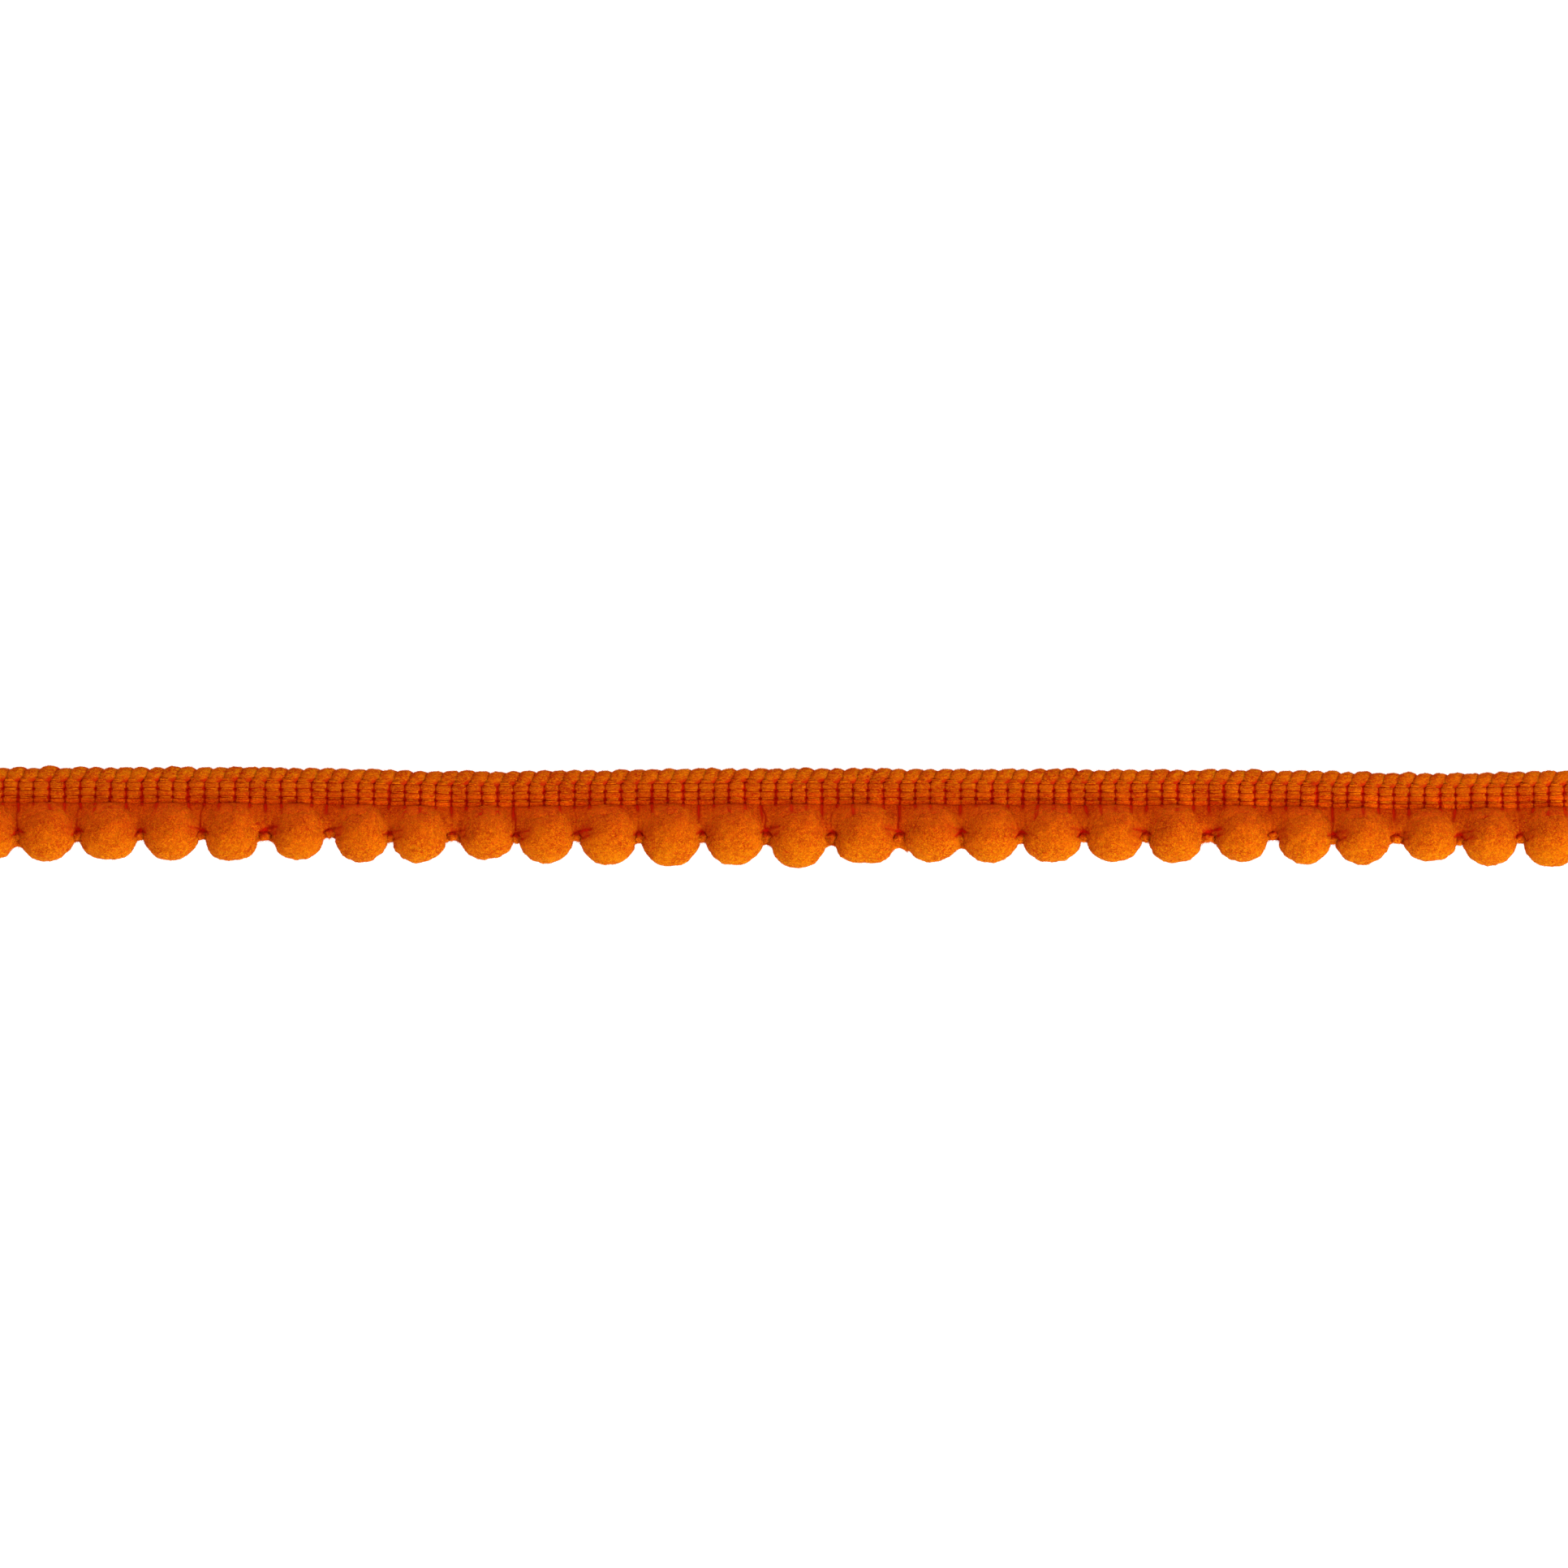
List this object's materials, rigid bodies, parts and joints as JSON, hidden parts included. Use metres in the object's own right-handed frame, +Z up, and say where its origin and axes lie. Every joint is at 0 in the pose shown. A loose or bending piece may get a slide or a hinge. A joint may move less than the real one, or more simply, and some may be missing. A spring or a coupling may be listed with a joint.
{
  "type": "pompom fringe trim",
  "caption": "Cut length of pompom fringe trim: a ribbed woven heading carrying a row of round felted yarn balls on a binding thread.",
  "frame": {"origin": "middle of the trim's length and width, on the surface that it lies on", "axes": "+X along the trim, +Y from the balls towards the heading's looped edge, +Z up from the surface"},
  "size_m": [0.1762, 0.0108, 0.0054],
  "materials": {
    "heading_yarn": "soft brushed yarn, matt",
    "pompom_yarn": "dense felted yarn, matt and slightly fuzzy",
    "binding_thread": "fine twisted thread, slight sheen"
  },
  "bodies": {
    "root": {"heading": "heading_yarn", "binding_thread": "binding_thread", "pompom_01": "pompom_yarn", "pompom_02": "pompom_yarn", "pompom_03": "pompom_yarn", "pompom_04": "pompom_yarn", "pompom_05": "pompom_yarn", "pompom_06": "pompom_yarn", "pompom_07": "pompom_yarn", "pompom_08": "pompom_yarn", "pompom_09": "pompom_yarn", "pompom_10": "pompom_yarn", "pompom_11": "pompom_yarn", "pompom_12": "pompom_yarn", "pompom_13": "pompom_yarn", "pompom_14": "pompom_yarn", "pompom_15": "pompom_yarn", "pompom_16": "pompom_yarn", "pompom_17": "pompom_yarn", "pompom_18": "pompom_yarn", "pompom_19": "pompom_yarn", "pompom_20": "pompom_yarn", "pompom_21": "pompom_yarn", "pompom_22": "pompom_yarn", "pompom_23": "pompom_yarn", "pompom_24": "pompom_yarn", "pompom_25": "pompom_yarn", "pompom_26": "pompom_yarn"}
  },
  "joints": []
}
